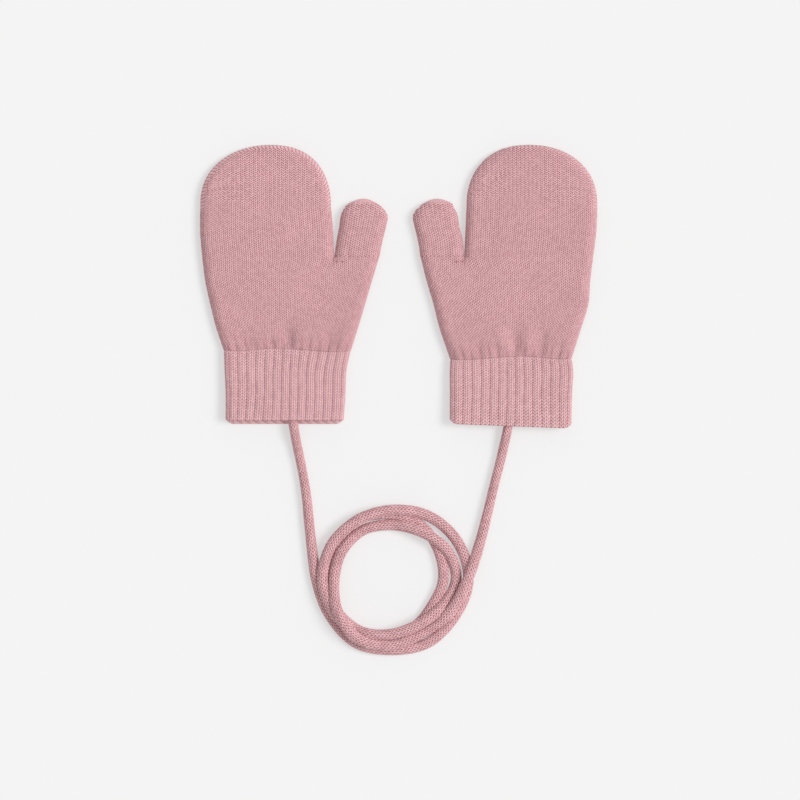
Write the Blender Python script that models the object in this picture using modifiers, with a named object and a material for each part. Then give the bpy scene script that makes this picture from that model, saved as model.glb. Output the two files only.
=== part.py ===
"""A pair of knitted baby mittens on one joining cord, laid flat on a surface.

Each mitten is a hand back and a hand palm that lie on each other, a thumb and an
open ribbed cuff. The cord runs from inside one cuff, round a loose coil, into the
other cuff. Units are metres, +Z is up, +Y points to the fingertips.
"""
import math

import bmesh
import bpy
import numpy as np

MM = 0.001

# Driving dimensions -------------------------------------------------------------
WALL = 1.6 * MM             # knitted wall
SEAM_GAP = 0.3 * MM         # clearance between neighbouring pieces
HAND_HEIGHT = 5.6 * MM      # both walls of the hand and the slack between them
MOUTH_HEIGHT = 7.0 * MM     # the cuff at its open end, lifted by the cord
EDGE_ROUND = 4.0 * MM       # width over which the hand back rolls down to its edge
EDGE_Z = 2.85 * MM          # middle of the hand back's wall at its lowest edge
PALM_LIFT = 0.35 * MM       # how far the palm's edge lifts off the surface
PALM_ROUND = 3.0 * MM

SHOULDER_Y = 38.0 * MM      # above this line the fingertips round off
TIP_REACH = 28.0 * MM       # from the shoulder line to the fingertip
TIP_POWER = 2.2             # superellipse power of the fingertip curve
LAST_TIP_ANGLE = 77.0       # degrees, where the panel's last row lies
CROTCH_Y = 14.2 * MM        # where thumb and hand part

CORD_DIAMETER = 4.6 * MM
COIL_CENTRE = (-3.5 * MM, -136.8 * MM)
COIL_OUTER = 36.5 * MM
COIL_INNER = 22.4 * MM
COIL_HEIGHT = 8.8 * MM
COIL_EDGE = 2.0 * MM        # rounding of the coil ring's section

# Hand panels: distances in mm from the mitten's centre line.
# columns: y, little-finger edge, line from the crotch to the cuff, thumb-side edge
HAND_ROWS = {
    "left": (
        (36.6, 30.5, 30.5, 30.5),
        (25.4, 30.5, 31.5, 31.5),
        (14.2, 29.6, 31.8, 53.1),
        (3.0, 28.2, 32.0, 49.7),
        (-8.2, 25.8, 30.4, 46.4),
        (-19.3, 23.0, 28.2, 43.1),
        (-29.6, 19.6, 25.4, 39.8),
    ),
    "right": (
        (36.6, 30.5, 30.5, 30.5),
        (25.4, 30.0, 31.0, 31.0),
        (14.2, 28.6, 31.5, 52.0),
        (3.0, 27.2, 31.4, 49.2),
        (-8.2, 26.3, 29.8, 45.9),
        (-19.3, 23.0, 27.6, 43.1),
        (-33.3, 18.6, 24.2, 38.2),
    ),
}

# Thumbs. columns: y, edge next to the hand, far edge
THUMB_ROWS = {
    "left": (
        (14.7, 32.4, 53.2),
        (22.6, 33.2, 54.8),
        (28.2, 34.3, 56.2),
        (33.8, 35.2, 56.6),
        (36.6, 36.6, 54.6),
        (39.2, 39.6, 51.2),
        (40.4, 42.6, 48.6),
    ),
    "right": (
        (14.7, 32.1, 52.1),
        (22.6, 32.3, 53.4),
        (28.2, 33.8, 54.8),
        (33.8, 34.7, 55.2),
        (36.6, 36.1, 53.2),
        (39.2, 38.0, 49.6),
        (40.4, 41.0, 47.0),
    ),
}

# Cuffs. columns: y, little-finger edge, thumb-side edge
CUFF_ROWS = {
    "left": ((-30.1, 19.6, 39.7), (-38.9, 19.3, 38.0), (-50.1, 18.8, 37.5), (-61.7, 18.8, 36.6)),
    "right": ((-33.8, 18.6, 38.2), (-37.5, 19.3, 38.5), (-50.1, 18.9, 38.5), (-61.7, 18.5, 38.5)),
}

# Soft gathers of the hand back above the cuff, in mm.
# columns: distance from the centre line, half width, depth, reach above the cuff
GATHERS = {
    "left": ((-8.0, 3.6, 0.5, 12.0), (11.0, 3.8, 0.8, 15.0), (30.0, 3.4, 0.5, 11.0)),
    "right": ((-3.0, 3.6, 0.8, 19.0), (7.7, 3.8, 0.9, 18.0), (24.0, 3.4, 0.4, 11.0)),
}

# columns: centre line x, side the thumb is on, how far the fingertip leans to it,
# hem drop from thumb side to little-finger side, reach of the palm side's hem, all in mm
MITTENS = {
    "left": {"centre": -62.0, "thumb": 1, "lean": 2.6, "hem_drop": 0.0, "under_reach": 2.4},
    "right": {"centre": 62.0, "thumb": -1, "lean": 1.2, "hem_drop": 4.2, "under_reach": -0.6},
}

# Cord between cuff and coil, in mm. columns: x, y, height of its axis, diameter
CORD_ROUTES = {
    "left": (
        (-50.6, -53.5, 3.2, 2.5),
        (-49.4, -61.5, 3.5, 2.9),
        (-48.7, -66.5, 4.2, 4.2),
        (-47.8, -74.0, 2.5, 4.6),
        (-46.0, -84.0, 2.3, 4.6),
        (-43.5, -98.0, 2.3, 4.6),
        (-41.6, -112.0, 2.3, 4.6),
        (-40.1, -123.0, 2.3, 4.6),
    ),
    "right": (
        (52.8, -55.0, 3.2, 2.5),
        (51.2, -63.4, 3.5, 2.9),
        (50.0, -68.5, 3.4, 4.4),
        (47.5, -77.0, 2.3, 4.6),
        (43.1, -95.0, 2.3, 4.6),
        (38.9, -112.0, 2.3, 4.6),
        (35.9, -123.5, 2.3, 4.6),
        (34.6, -127.7, 2.3, 4.6),
    ),
}

BACK_COLUMNS = 20           # grid divisions of the hand back, across the hand
PALM_COLUMNS = 10
GORE_COLUMNS = 5            # and across the thumb's gore below the crotch
BODY_ROWS = 8               # divisions from cuff to crotch
FINGER_ROWS = 4             # from crotch to shoulder line
TIP_ROWS = 6
STRAIGHT_STEPS = 9          # divisions of a flattened tube's flat sides
ROUND_STEPS = 4             # and of its round edges


def clear_scene():
    for old in list(bpy.data.objects):
        bpy.data.objects.remove(old, do_unlink=True)


def knit_material(name, colour):
    """Matt cotton yarn."""
    material = bpy.data.materials.new(name)
    material.use_nodes = True
    shader = material.node_tree.nodes["Principled BSDF"]
    shader.inputs["Base Color"].default_value = (*colour, 1.0)
    shader.inputs["Roughness"].default_value = 0.95
    shader.inputs["Metallic"].default_value = 0.0
    return material


def smooth_column(table, column, y):
    """Value of one column of a table (in mm) at height y (in m), on a smooth curve."""
    rows = sorted(table)
    heights = np.array([row[0] for row in rows]) * MM
    values = np.array([row[column] for row in rows]) * MM
    slopes = np.gradient(values, heights)
    y = min(max(y, heights[0]), heights[-1])
    i = min(int(np.searchsorted(heights, y, side="right")) - 1, len(rows) - 2)
    span = heights[i + 1] - heights[i]
    t = (y - heights[i]) / span
    start = (1 + 2 * t) * (1 - t) ** 2 * values[i] + t * (1 - t) ** 2 * span * slopes[i]
    end = t * t * (3 - 2 * t) * values[i + 1] - t * t * (1 - t) * span * slopes[i + 1]
    return start + end


def hand_edges(side, y):
    """Little-finger edge, crotch line and thumb-side edge, outwards from the centre line."""
    table = HAND_ROWS[side]
    if y <= CROTCH_Y:
        below = [row for row in table if row[0] * MM <= CROTCH_Y + SEAM_GAP]
        return tuple(smooth_column(below, column, y) for column in (1, 2, 3))
    above = [row for row in table if row[0] * MM >= CROTCH_Y - SEAM_GAP]
    hand_edge = smooth_column([(row[0], row[2]) for row in above], 1, y)
    outer = smooth_column(above, 1, y)
    if y <= SHOULDER_Y:
        return outer, hand_edge, hand_edge
    rise = (y - SHOULDER_Y) / TIP_REACH
    narrowing = (1 - rise ** TIP_POWER) ** (1 / TIP_POWER)
    lean = MITTENS[side]["lean"] * MM * rise ** 3
    return outer * narrowing - lean, hand_edge * narrowing + lean, hand_edge * narrowing + lean


def row_heights(side):
    """The y of each row of a hand panel, from the cuff to the fingertip."""
    cuff_y = HAND_ROWS[side][-1][0] * MM
    body = np.linspace(cuff_y, CROTCH_Y, BODY_ROWS + 1)
    finger = np.linspace(CROTCH_Y, SHOULDER_Y, FINGER_ROWS + 1)[1:]
    angles = np.radians(np.linspace(0, LAST_TIP_ANGLE, TIP_ROWS + 1)[1:])
    return np.concatenate((body, finger, SHOULDER_Y + TIP_REACH * np.sin(angles)))


def edge_distance(side, x, y, edges):
    """How far a point of the hand lies inside its outline, in x or to the crotch or tip."""
    outer, _, inner = edges
    distance = min(x + outer, inner - x)
    if y < CROTCH_Y:
        crotch_x = hand_edges(side, CROTCH_Y)[1]
        distance = min(distance, math.hypot(x - crotch_x, y - CROTCH_Y))
    return max(0.0, min(distance, SHOULDER_Y + TIP_REACH - y))


def quarter_round(distance, radius):
    """0 at the edge, 1 from the radius inwards, along a quarter circle."""
    t = min(distance / radius, 1.0)
    return math.sqrt(1 - (1 - t) ** 2)


def back_height(side, x, y, distance):
    """Middle of the hand back's wall: rolled down at the edges, gathered at the cuff."""
    top = HAND_HEIGHT - WALL / 2
    height = EDGE_Z + (top - EDGE_Z) * quarter_round(distance, EDGE_ROUND)
    cuff_y = HAND_ROWS[side][-1][0] * MM
    for at, half_width, depth, reach in GATHERS[side]:
        along = max(0.0, 1 - (y - cuff_y) / (reach * MM))
        across = math.exp(-(((x - at * MM) / (half_width * MM)) ** 2))
        inside = min(distance / (2 * EDGE_ROUND), 1.0)
        height -= depth * MM * across * inside * math.sin(math.pi * along ** 0.7)
    return height


def palm_height(side, x, y, distance):
    """Middle of the palm's wall: flat on the surface, lifting a little at the edge."""
    return WALL / 2 + PALM_LIFT * (1 - min(distance / PALM_ROUND, 1.0)) ** 2


def eased(s):
    """Even spacing pulled a little towards both ends of -1 to 1."""
    return 0.6 * s + 0.4 * math.sin(math.pi / 2 * s)


def hand_panel(name, side, columns, height_at, material, collection):
    """One wall of the hand: a grid shaped by the section rows, then given its thickness."""
    heights = row_heights(side)
    last_row = len(heights) - 1
    all_columns = columns + GORE_COLUMNS
    mesh = bmesh.new()
    bmesh.ops.create_grid(mesh, x_segments=all_columns, y_segments=last_row, size=1.0)
    places = {}
    for vertex in mesh.verts:
        column = round((vertex.co.x + 1) / 2 * all_columns)
        row = round((vertex.co.y + 1) / 2 * last_row)
        places[vertex] = (column, row)
    spare = [v for v, (column, row) in places.items() if column > columns and row > BODY_ROWS]
    bmesh.ops.delete(mesh, geom=spare, context="VERTS")

    mitten = MITTENS[side]
    inset = WALL / 2
    for vertex in mesh.verts:
        column, row = places[vertex]
        y = heights[row]
        edges = hand_edges(side, y)
        outer, line, inner = (edges[0] - inset, edges[1] - inset, edges[2] - inset)
        if column <= columns:
            share = (eased(2 * column / columns - 1) + 1) / 2
            x = -outer + share * (outer + line)
        else:
            x = line + eased((column - columns) / GORE_COLUMNS) * (inner - line)
        if row == last_row:
            distance = 0.0
        elif row == BODY_ROWS:
            distance = max(0.0, min(x + outer, abs(line - x), inner - x if x > line else 1.0))
        else:
            distance = edge_distance(side, x, y, (outer, line, inner))
        bow = (SHOULDER_Y + TIP_REACH - inset - y) * (row == last_row)
        y += bow * (1 - ((2 * x - line + outer) / (line + outer)) ** 2)
        world_x = mitten["centre"] * MM + mitten["thumb"] * x
        vertex.co = (world_x, y, height_at(side, x, y, distance))
    return finish_wall(mesh, name, material, collection, offset=0.0)


def stadium(half_width, half_height):
    """A flattened tube's section about its middle: two flat sides and two half circles."""
    flat = half_width - half_height
    points = [(flat * (2 * i / STRAIGHT_STEPS - 1), -half_height) for i in range(STRAIGHT_STEPS)]
    for i in range(ROUND_STEPS):
        turn = -math.pi / 2 + math.pi * i / ROUND_STEPS
        points.append((flat + half_height * math.cos(turn), half_height * math.sin(turn)))
    return points + [(-x, -z) for x, z in points]


def skin(mesh, rings, closed_end):
    """Join rings of equal point counts, one to the next, and close the last if asked."""
    rows = [[mesh.verts.new(point) for point in ring] for ring in rings]
    count = len(rows[0])
    for near, far in zip(rows, rows[1:]):
        for i in range(count):
            j = (i + 1) % count
            mesh.faces.new((near[i], near[j], far[j], far[i]))
    if closed_end:
        mesh.faces.new(rows[-1])


def finish_wall(mesh, name, material, collection, offset):
    """Turn an open surface into a wall of the knit's thickness, faces outwards."""
    bmesh.ops.recalc_face_normals(mesh, faces=mesh.faces)
    data = bpy.data.meshes.new(name)
    mesh.to_mesh(data)
    mesh.free()
    data.materials.append(material)
    data.shade_smooth()
    piece = bpy.data.objects.new(name, data)
    collection.objects.link(piece)
    wall = piece.modifiers.new("knitted wall", "SOLIDIFY")
    wall.thickness = WALL
    wall.offset = offset
    return piece


def thumb(name, side, material, collection):
    """A flattened tube, open into the hand and closed at its tip."""
    mitten = MITTENS[side]
    rings = []
    last = len(THUMB_ROWS[side]) - 1
    for i, (y, near, far) in enumerate(THUMB_ROWS[side]):
        half_height = HAND_HEIGHT / 2 * (0.8 if i == last else 1.0)
        middle = mitten["centre"] * MM + mitten["thumb"] * (near + far) / 2 * MM
        section = stadium((far - near) / 2 * MM, half_height)
        rings.append([(middle + x, y * MM, z + HAND_HEIGHT / 2) for x, z in section])
    mesh = bmesh.new()
    skin(mesh, rings, closed_end=True)
    return finish_wall(mesh, name, material, collection, offset=-1.0)


def cuff(name, side, material, collection):
    """An open flattened tube whose mouth stands a little higher than its top."""
    mitten = MITTENS[side]
    rows = CUFF_ROWS[side]
    rings = []
    for i, (y, outer, inner) in enumerate(rows):
        down = i / (len(rows) - 1)
        half_height = (HAND_HEIGHT + (MOUTH_HEIGHT - HAND_HEIGHT) * down ** 2) / 2
        half_width = (outer + inner) / 2 * MM
        middle = mitten["centre"] * MM + mitten["thumb"] * (inner - outer) / 2 * MM
        ring = []
        for x, z in stadium(half_width, half_height):
            to_outer = (1 - mitten["thumb"] * x / half_width) / 2
            to_palm = (1 - z / half_height) / 2
            hem = mitten["hem_drop"] * to_outer + mitten["under_reach"] * to_palm
            ring.append((middle + x, (y - hem * down ** 3) * MM, z + half_height))
        rings.append(ring)
    mesh = bmesh.new()
    skin(mesh, rings, closed_end=False)
    return finish_wall(mesh, name, material, collection, offset=-1.0)


def smooth_route(route, count):
    """Evenly counted points on a smooth curve through a route's own points."""
    points = np.array(route) * MM
    steps = np.linalg.norm(np.diff(points[:, :2], axis=0), axis=1)
    along = np.concatenate(([0.0], np.cumsum(steps)))
    slopes = np.gradient(points, along, axis=0)
    result = []
    for s in np.linspace(0, along[-1], count):
        i = min(int(np.searchsorted(along, s, side="right")) - 1, len(along) - 2)
        span = along[i + 1] - along[i]
        t = (s - along[i]) / span
        start = (1 + 2 * t) * (1 - t) ** 2 * points[i] + t * (1 - t) ** 2 * span * slopes[i]
        end = t * t * (3 - 2 * t) * points[i + 1] - t * t * (1 - t) * span * slopes[i + 1]
        result.append(start + end)
    return result


def cord_run(name, route, material, collection):
    """The uncoiled cord between a cuff and the coil."""
    data = bpy.data.curves.new(name, "CURVE")
    data.dimensions = "3D"
    data.bevel_depth = CORD_DIAMETER / 2
    data.bevel_resolution = 2
    data.use_fill_caps = True
    data.materials.append(material)
    points = smooth_route(route, 24)
    spline = data.splines.new("POLY")
    spline.points.add(len(points) - 1)
    for target, (x, y, z, diameter) in zip(spline.points, points):
        thickness = min(diameter, CORD_DIAMETER)
        target.co = (x, y, max(z, thickness / 2), 1.0)
        target.radius = thickness / CORD_DIAMETER
    piece = bpy.data.objects.new(name, data)
    collection.objects.link(piece)
    return piece


def cord_coil(name, material, collection):
    """The outer shape of the coiled cord: a flat ring turned about its centre."""
    profile = (
        (COIL_OUTER - COIL_EDGE, COIL_HEIGHT),
        (COIL_OUTER, COIL_HEIGHT - COIL_EDGE),
        (COIL_OUTER, 0.0),
        (COIL_INNER, 0.0),
        (COIL_INNER, COIL_HEIGHT - COIL_EDGE),
        (COIL_INNER + COIL_EDGE, COIL_HEIGHT),
    )
    mesh = bmesh.new()
    corners = [mesh.verts.new((radius, 0.0, z)) for radius, z in profile]
    for i, corner in enumerate(corners):
        mesh.edges.new((corner, corners[(i + 1) % len(corners)]))
    data = bpy.data.meshes.new(name)
    mesh.to_mesh(data)
    mesh.free()
    data.materials.append(material)
    piece = bpy.data.objects.new(name, data)
    piece.location = (*COIL_CENTRE, 0.0)
    collection.objects.link(piece)
    turn = piece.modifiers.new("turned", "SCREW")
    turn.axis = "Z"
    turn.steps = 48
    turn.render_steps = 48
    turn.use_merge_vertices = True
    turn.merge_threshold = 0.01 * MM
    return piece


def build():
    clear_scene()
    collection = bpy.data.collections.new("baby_mittens")
    bpy.context.scene.collection.children.link(collection)
    hand_knit = knit_material("hand_knit", (0.56, 0.33, 0.36))
    rib_knit = knit_material("rib_knit", (0.61, 0.36, 0.38))
    cord_knit = knit_material("cord_knit", (0.66, 0.40, 0.42))
    for side in MITTENS:
        hand_panel(f"{side}_hand_back", side, BACK_COLUMNS, back_height, hand_knit, collection)
        hand_panel(f"{side}_hand_palm", side, PALM_COLUMNS, palm_height, hand_knit, collection)
        thumb(f"{side}_thumb", side, hand_knit, collection)
        cuff(f"{side}_cuff", side, rib_knit, collection)
        cord_run(f"cord_{side}", CORD_ROUTES[side], cord_knit, collection)
    cord_coil("cord_coil", cord_knit, collection)


build()
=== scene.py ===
# %% [markdown]
# # A pair of knitted baby mittens on one cord
#
# The pair lies flat on a pale table. Every piece is knitted yarn: two hand panels and a
# thumb in plain stocking stitch, a ribbed cuff, and one knitted cord that joins the two
# cuffs and lies between them in a loose coil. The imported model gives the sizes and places.

import math

import bpy
import numpy as np
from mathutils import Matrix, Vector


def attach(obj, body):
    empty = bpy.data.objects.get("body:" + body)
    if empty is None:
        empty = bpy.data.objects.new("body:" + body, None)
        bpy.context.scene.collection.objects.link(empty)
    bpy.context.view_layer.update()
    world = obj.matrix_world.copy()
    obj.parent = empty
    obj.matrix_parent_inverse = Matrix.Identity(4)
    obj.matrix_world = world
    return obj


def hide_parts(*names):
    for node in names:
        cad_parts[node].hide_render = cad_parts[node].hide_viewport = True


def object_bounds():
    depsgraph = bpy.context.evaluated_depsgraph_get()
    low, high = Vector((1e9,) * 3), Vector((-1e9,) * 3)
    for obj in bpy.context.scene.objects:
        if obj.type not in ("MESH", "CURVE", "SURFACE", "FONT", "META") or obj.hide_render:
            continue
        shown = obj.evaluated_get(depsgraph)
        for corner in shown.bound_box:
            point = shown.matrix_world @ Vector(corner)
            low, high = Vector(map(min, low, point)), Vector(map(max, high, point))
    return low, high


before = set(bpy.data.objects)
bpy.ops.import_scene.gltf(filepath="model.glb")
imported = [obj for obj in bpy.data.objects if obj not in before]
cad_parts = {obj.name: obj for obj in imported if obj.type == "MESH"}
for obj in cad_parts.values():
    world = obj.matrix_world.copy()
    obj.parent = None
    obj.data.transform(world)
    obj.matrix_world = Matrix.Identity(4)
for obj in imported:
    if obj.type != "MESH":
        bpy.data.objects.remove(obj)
cad_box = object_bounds()
MM = 0.001
bpy.ops.object.select_all(action="DESELECT")
print("pieces of the packed model:", sorted(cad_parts))

# %% [markdown]
# ## Camera
#
# The pair is seen from straight above. A long lens from two metres up keeps the sides of
# the cloth from leaning outwards, which a short lens close by would do.

# %% Camera straight above the pair
FIELD_OF_VIEW = 372.8 * MM
CAMERA_HEIGHT = 2.0
AIM_OFFSET = (0.6 * MM, 0.8 * MM)
SENSOR = 36.0

low, high = cad_box
aim = ((low.x + high.x) / 2 + AIM_OFFSET[0], (low.y + high.y) / 2 + AIM_OFFSET[1])
bpy.ops.object.camera_add(location=(*aim, CAMERA_HEIGHT), rotation=(0.0, 0.0, 0.0))
camera = bpy.context.object
camera.name = "camera_above"
camera.data.sensor_width = SENSOR
camera.data.lens = SENSOR * CAMERA_HEIGHT / FIELD_OF_VIEW
bpy.context.scene.camera = camera
print("the camera looks down on", [round(v, 4) for v in aim])

# %% [markdown]
# ## Table and light
#
# A plain pale table and even studio light. The table glows a little, which keeps it evenly pale
# and is painted light that lifts the shadows on it, so they stay faint. A broad soft light from the
# right gives each piece its shadow on the left, and shades every stitch from that side. A sun lamp
# with a wide angle does this evenly over the whole table, where an area lamp would fall off.

# %% Pale table
TABLE_DROP = 0.05 * MM
TABLE_SIZE = 8.0
TABLE_COLOUR = 0.42
# painted glow that lifts the table's shadows
TABLE_GLOW = 0.474


def set_inputs(node, values):
    """Set the named inputs of a shader node."""
    for name, value in values.items():
        node.inputs[name].default_value = value


def table_material():
    """A matt pale grey that glows a little, painted light that lifts its shadows."""
    material = bpy.data.materials.new("pale table")
    material.use_nodes = True
    set_inputs(material.node_tree.nodes["Principled BSDF"], {
        "Base Color": (TABLE_COLOUR, TABLE_COLOUR, TABLE_COLOUR, 1.0),
        "Roughness": 0.9,
        "Specular IOR Level": 0.0,
        "Emission Color": (1.0, 1.0, 1.0, 1.0),
        "Emission Strength": TABLE_GLOW,
    })
    return material


bpy.ops.mesh.primitive_plane_add(size=TABLE_SIZE, location=(0.0, 0.0, -TABLE_DROP))
table = bpy.context.object
table.name = "table"
table.data.materials.append(table_material())
print("the table lies", TABLE_DROP / MM, "mm under the pair")

# %% Soft light from the right and an even fill
KEY_TILT = 42.0          # degrees from straight down
KEY_TURN = 8.0           # degrees about the upright
KEY_SPREAD = 26.0        # degrees across, which sets how soft the shadows are
KEY_STRENGTH = 1.9
FILL_STRENGTH = 0.58

bpy.ops.object.light_add(type="SUN", location=(1.0, 0.2, 1.0))
key = bpy.context.object
key.name = "soft_light_right"
key.data.energy = KEY_STRENGTH
key.data.angle = math.radians(KEY_SPREAD)
key.data.color = (1.0, 0.995, 0.99)
key.rotation_euler = (0.0, math.radians(KEY_TILT), math.radians(KEY_TURN))

world = bpy.data.worlds.new("studio fill")
world.use_nodes = True
background = world.node_tree.nodes["Background"]
set_inputs(background, {"Color": (0.99, 0.997, 1.0, 1.0), "Strength": FILL_STRENGTH})
bpy.context.scene.world = world
bpy.context.scene.view_settings.view_transform = "Standard"
print("one soft light of strength", KEY_STRENGTH, "and a fill of", FILL_STRENGTH)

# %% [markdown]
# ## Yarn
#
# The finish is matt cotton yarn. Each knitted mesh carries a value of painted shade, which is
# 0 on the crest of a stitch and 1 down between stitches. The yarn shows its own pale rose on its
# crests and a deep rose of painted shade in its hollows, with a faint uneven dye and a fuzz of
# tiny fibres.

# %% Yarn material
FIBRE_SCALE = 5200.0
DYE_SCALE = 60.0


def yarn_material(name, crest, hollow_shade):
    """Matt yarn that runs from its crest colour to a colour of painted shade in its hollows."""
    material = bpy.data.materials.new(name)
    material.use_nodes = True
    nodes = material.node_tree.nodes
    links = material.node_tree.links
    shader = nodes["Principled BSDF"]
    set_inputs(shader, {
        "Roughness": 0.92,
        "Specular IOR Level": 0.18,
        "Sheen Weight": 0.22,
        "Sheen Roughness": 0.45,
        "Sheen Tint": (1.0, 0.86, 0.88, 1.0),
    })

    # painted shade: the hollows between the stitches are coloured darker
    depth = nodes.new("ShaderNodeAttribute")
    depth.attribute_name = "hollow_shade"
    ramp = nodes.new("ShaderNodeValToRGB")
    ramp.color_ramp.elements[0].position = 0.12
    ramp.color_ramp.elements[0].color = (*crest, 1.0)
    ramp.color_ramp.elements[1].position = 0.95
    ramp.color_ramp.elements[1].color = (*hollow_shade, 1.0)
    links.new(depth.outputs["Fac"], ramp.inputs["Fac"])

    place = nodes.new("ShaderNodeTexCoord")
    dye = nodes.new("ShaderNodeTexNoise")
    set_inputs(dye, {"Scale": DYE_SCALE, "Detail": 3.0})
    links.new(place.outputs["Object"], dye.inputs["Vector"])
    uneven = nodes.new("ShaderNodeMapRange")
    set_inputs(uneven, {"To Min": 0.93, "To Max": 1.07})
    links.new(dye.outputs["Fac"], uneven.inputs["Value"])
    tint = nodes.new("ShaderNodeVectorMath")
    tint.operation = "SCALE"
    links.new(ramp.outputs["Color"], tint.inputs[0])
    links.new(uneven.outputs["Result"], tint.inputs["Scale"])
    links.new(tint.outputs["Vector"], shader.inputs["Base Color"])

    fibres = nodes.new("ShaderNodeTexNoise")
    set_inputs(fibres, {"Scale": FIBRE_SCALE, "Detail": 2.0})
    links.new(place.outputs["Object"], fibres.inputs["Vector"])
    bump = nodes.new("ShaderNodeBump")
    set_inputs(bump, {"Strength": 0.35, "Distance": 0.08 * MM})
    links.new(fibres.outputs["Fac"], bump.inputs["Height"])
    links.new(bump.outputs["Normal"], shader.inputs["Normal"])
    return material


# The second colour of each yarn is painted shade for the hollows between its stitches.
hand_yarn = yarn_material("rose hand yarn", (0.885, 0.545, 0.565), (0.31, 0.115, 0.135))
rib_yarn = yarn_material("rose rib yarn", (0.935, 0.605, 0.625), (0.32, 0.12, 0.14))
cord_yarn = yarn_material("rose cord yarn", (0.97, 0.61, 0.63), (0.18, 0.03, 0.045))
print("three yarns:", hand_yarn.name, rib_yarn.name, cord_yarn.name)

# %% [markdown]
# ## The stitch
#
# Stocking stitch shows columns of small V shapes, called wales. Each leg of a V is a short
# leaning grain of yarn, and the next V sits on top of it. One function gives the height of
# the knit at any place, so the hands, the ribs and the cord all share the same stitch.

# %% Height of the knit over a wall
LEG_OFFSET = 0.24        # of a wale, from its middle to a leg
LEG_HALF_WIDTH = 0.22    # of a wale
LEG_HALF_LENGTH = 0.72   # of a course
UNEVENNESS = 0.24
rng = np.random.default_rng(11)
STITCH_VARIETY = rng.uniform(1 - UNEVENNESS, 1.0, (97, 89))


def variety(leg, course):
    """How full one leg of one stitch is."""
    legs, courses = STITCH_VARIETY.shape
    return STITCH_VARIETY[np.floor(leg).astype(int) % legs, np.floor(course).astype(int) % courses]


def stitch_height(wales, courses, lean=0.37):
    """0 to 1 over stocking stitch, where wales and courses count the stitches."""
    wales, courses = np.broadcast_arrays(wales, courses)
    across = np.abs(np.mod(wales, 1.0) - 0.5)
    leg = 2 * np.floor(wales) + (np.mod(wales, 1.0) > 0.5)
    best = np.zeros_like(across)
    for step in (-1, 0, 1):
        course = np.floor(courses) + step
        along = courses - course - 0.5
        off_line = (across - LEG_OFFSET - lean * along) / LEG_HALF_WIDTH
        off_end = along / LEG_HALF_LENGTH
        grain = np.sqrt(np.clip(1 - off_line ** 2 - off_end ** 2, 0.0, 1.0))
        best = np.maximum(best, grain * variety(leg, course))
    return np.clip((best - 0.12) / 0.8, 0.0, 1.0)


def slow_waves(x, y, amount, length):
    """Soft uneven drift of a pattern, as hand and heat leave it in real knitting."""
    first = np.sin(2 * math.pi * (x / length + 0.31 * y / length))
    second = np.sin(2 * math.pi * (0.63 * y / length - 0.44 * x / length) + 1.3)
    third = np.sin(2 * math.pi * (1.37 * x + 1.11 * y) / length + 2.1)
    return amount * (0.5 * first + 0.3 * second + 0.2 * third)


print("knit height runs from", stitch_height(np.array([0.0]), np.array([0.5]))[0], "to 1")

# %% [markdown]
# ## From a grid of points to a closed wall
#
# Knitted cloth has thickness. A piece is a fine grid with the stitches on its outer face,
# a plain coarse grid on its inner face, and a rim that joins the two all round its border.
# Solidify would give the hidden inner face as many triangles as the outer one, so the wall
# is put together here instead.


# %% Wall builder
def surface_normals(points):
    """Unit normals of a grid of points, from its rows and columns."""
    along_rows = np.gradient(points, axis=0)
    along_columns = np.gradient(points, axis=1)
    normals = np.cross(along_columns, along_rows)
    return normals / np.maximum(np.linalg.norm(normals, axis=2, keepdims=True), 1e-12)


def tube_normals(points):
    """The same for a tube, whose last column meets its first."""
    wide = np.concatenate((points[:, -2:-1], points, points[:, 1:2]), axis=1)
    return surface_normals(wide)[:, 1:-1]


def grid_area(points, cells=None):
    """Area of a smooth grid of points: the flat area of the cloth before it has stitches."""
    across = points[:-1, 1:] - points[:-1, :-1]
    upward = points[1:, :-1] - points[:-1, :-1]
    areas = np.linalg.norm(np.cross(across, upward), axis=2)
    return float(areas.sum() if cells is None else areas[cells].sum())


def rim_sides(cells, wrap):
    """Open sides of the cells of a grid, as row, column and the way that the side runs."""
    rows, columns = cells.shape
    for row, column in zip(*np.nonzero(cells)):
        left = (column - 1) % columns if wrap else column - 1
        right = (column + 1) % columns if wrap else column + 1
        if row == 0 or not cells[row - 1, column]:
            yield (row, column), (row, column + 1)
        if right == columns or not cells[row, right]:
            yield (row, column + 1), (row + 1, column + 1)
        if row == rows - 1 or not cells[row + 1, column]:
            yield (row + 1, column + 1), (row + 1, column)
        if left < 0 or not cells[row, left]:
            yield (row + 1, column), (row, column)


def wall_faces(ids, cells, step, inner_ids, wrap, closed_top):
    """Quads of both faces of a wall and the rim polygons between them."""
    row, column = np.nonzero(cells)
    quads = np.stack(
        (ids[row, column], ids[row, column + 1], ids[row + 1, column + 1], ids[row + 1, column]), 1)
    faces = quads.tolist()
    coarse = cells[::step, ::step]
    row, column = np.nonzero(coarse)
    quads = np.stack((inner_ids[row, column], inner_ids[row + 1, column],
                      inner_ids[row + 1, column + 1], inner_ids[row, column + 1]), 1)
    faces += quads.tolist()
    for (row_a, column_a), (row_b, column_b) in rim_sides(coarse, wrap):
        if closed_top and row_a == row_b == coarse.shape[0]:
            continue
        rows = np.linspace(row_b * step, row_a * step, step + 1).astype(int)
        columns = np.linspace(column_b * step, column_a * step, step + 1).astype(int)
        chain = ids[rows, columns].tolist()
        faces.append(chain + [int(inner_ids[row_a, column_a]), int(inner_ids[row_b, column_b])])
    return faces


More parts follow.
